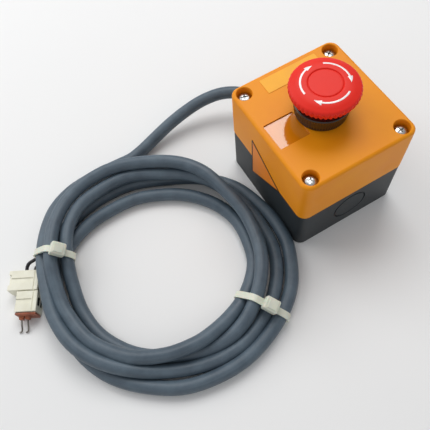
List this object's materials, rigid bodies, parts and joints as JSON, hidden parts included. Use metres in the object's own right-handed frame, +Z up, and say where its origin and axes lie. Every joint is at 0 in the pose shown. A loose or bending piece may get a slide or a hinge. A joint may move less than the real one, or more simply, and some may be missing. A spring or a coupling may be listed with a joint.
{
  "type": "emergency stop button station",
  "caption": "Surface-mounted emergency stop station: mushroom push button with twist release on a two-part enclosure, contact blocks inside, coiled lead ending in connectors.",
  "frame": {"origin": "centre of the enclosure's underside, on the surface it stands on", "axes": "+Z up through the push button's axis; +Y towards the cable entry; the coiled lead lies on the -X side"},
  "size_m": [0.2525, 0.1777, 0.0943],
  "materials": {
    "base_plastic": "moulded satin dark grey",
    "lid_plastic": "moulded satin orange-yellow",
    "seal_rubber": "matt black",
    "zinc_steel": "bright zinc plated",
    "label_film": "printed film",
    "red_plastic": "polished red",
    "arrow_white": "white inlay",
    "black_plastic": "moulded black",
    "spring_steel": "drawn wire",
    "contact_brass": "stamped",
    "cable_jacket": "extruded blue-grey PVC",
    "core_insulation": "extruded black PVC",
    "tie_nylon": "natural nylon",
    "connector_nylon": "white nylon",
    "connector_board": "brown phenolic sheet"
  },
  "bodies": {
    "enclosure": {"base_shell": "base_plastic", "lid_shell": "lid_plastic", "lid_gasket": "seal_rubber", "lid_screw_1": "zinc_steel", "lid_screw_2": "zinc_steel", "lid_screw_3": "zinc_steel", "lid_screw_4": "zinc_steel", "name_label": "label_film", "triangle_label": "label_film", "return_spring": "spring_steel", "actuator_barrel": "black_plastic", "collar": "black_plastic", "collar_gasket": "seal_rubber", "ring_nut": "zinc_steel", "contact_carrier": "black_plastic", "contact_housing_1": "black_plastic", "contact_cover_1": "black_plastic", "contact_spring_1": "spring_steel", "fixed_contact_1a": "contact_brass", "fixed_contact_1b": "contact_brass", "terminal_screw_1a": "zinc_steel", "terminal_screw_1b": "zinc_steel", "contact_housing_2": "black_plastic", "contact_cover_2": "black_plastic", "contact_spring_2": "spring_steel", "fixed_contact_2a": "contact_brass", "fixed_contact_2b": "contact_brass", "terminal_screw_2a": "zinc_steel", "terminal_screw_2b": "zinc_steel", "inner_core_1a": "core_insulation", "inner_core_1b": "core_insulation", "inner_core_2a": "core_insulation", "inner_core_2b": "core_insulation", "jacket_stub": "cable_jacket", "cable_grommet": "seal_rubber", "cable_lead": "cable_jacket", "cable_coil": "cable_jacket", "cable_tie_1": "tie_nylon", "cable_tie_2": "tie_nylon", "tail_core_1": "core_insulation", "tail_core_2": "core_insulation", "connector_housing_1": "connector_nylon", "connector_housing_2": "connector_nylon", "connector_plate": "connector_board", "connector_pin_1": "zinc_steel", "connector_pin_2": "zinc_steel"},
    "plunger": {"push_plunger": "black_plastic"},
    "cap": {"mushroom_cap": "red_plastic", "release_arrow_1": "arrow_white", "release_arrow_2": "arrow_white", "release_arrow_3": "arrow_white", "cap_stem": "zinc_steel"},
    "pusher_1": {"contact_pusher_1": "red_plastic", "contact_bridge_1": "contact_brass"},
    "pusher_2": {"contact_pusher_2": "red_plastic", "contact_bridge_2": "contact_brass"}
  },
  "joints": [
    {"name": "head_press", "type": "slide", "parent": "enclosure", "child": "plunger", "axis": [0, 0, -1], "range_m": [0, 0.0055], "deforming": ["return_spring"]},
    {"name": "release_turn", "type": "hinge", "parent": "plunger", "child": "cap", "pos_m": [0, 0, 0.09], "axis": [0, 0, -1], "range_deg": [0, 35], "stiffness_Nm_per_rad": 0.02},
    {"name": "pusher_1_travel", "type": "slide", "parent": "enclosure", "child": "pusher_1", "axis": [0, 0, -1], "range_m": [0, 0.0055], "deforming": ["contact_spring_1"]},
    {"name": "pusher_2_travel", "type": "slide", "parent": "enclosure", "child": "pusher_2", "axis": [0, 0, -1], "range_m": [0, 0.0055], "deforming": ["contact_spring_2"]}
  ],
  "couplings": [
    {"joint": "pusher_1_travel", "follows": "head_press", "ratio": 1},
    {"joint": "pusher_2_travel", "follows": "head_press", "ratio": 1}
  ]
}
